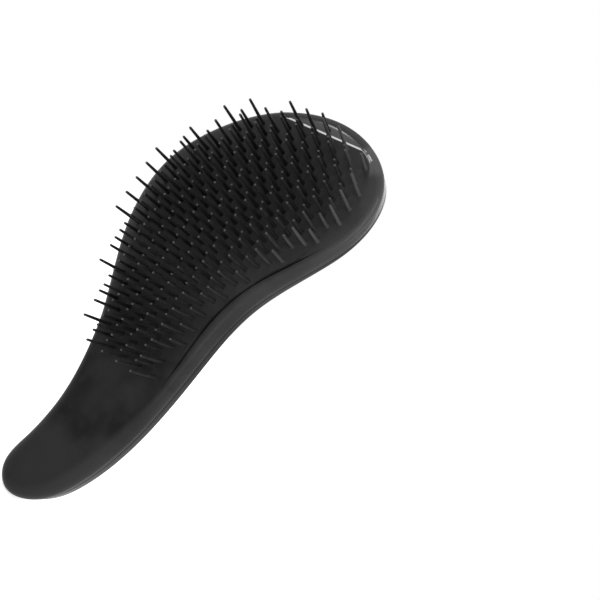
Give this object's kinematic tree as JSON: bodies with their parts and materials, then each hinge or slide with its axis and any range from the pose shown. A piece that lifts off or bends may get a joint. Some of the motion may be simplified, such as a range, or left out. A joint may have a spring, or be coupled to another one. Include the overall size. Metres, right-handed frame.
{
  "type": "detangling hair brush",
  "caption": "Flat S-shaped detangling hair brush with a glossy zebra-striped back cover, a black front shell with a rounded rim and a black head plate of long and short tapered bristles.",
  "frame": {"origin": "inside the handle at the middle of the grip, on the plane where cover and frame meet", "axes": "+Z from the handle to the head, the printed cover faces -Y, the bristles point to +Y"},
  "size_m": [0.0764, 0.0347, 0.1852],
  "materials": {
    "printed_cover": "glossy purple and black zebra print under clear lacquer",
    "black_frame": "glossy black moulded plastic",
    "black_plate": "polished black moulded plastic",
    "black_bristle": "smooth flexible black plastic"
  },
  "bodies": {
    "root": {"back_cover": "printed_cover", "body_frame": "black_frame", "bristle_plate": "black_plate", "long_bristles": "black_bristle", "short_bristles": "black_bristle"}
  },
  "joints": []
}
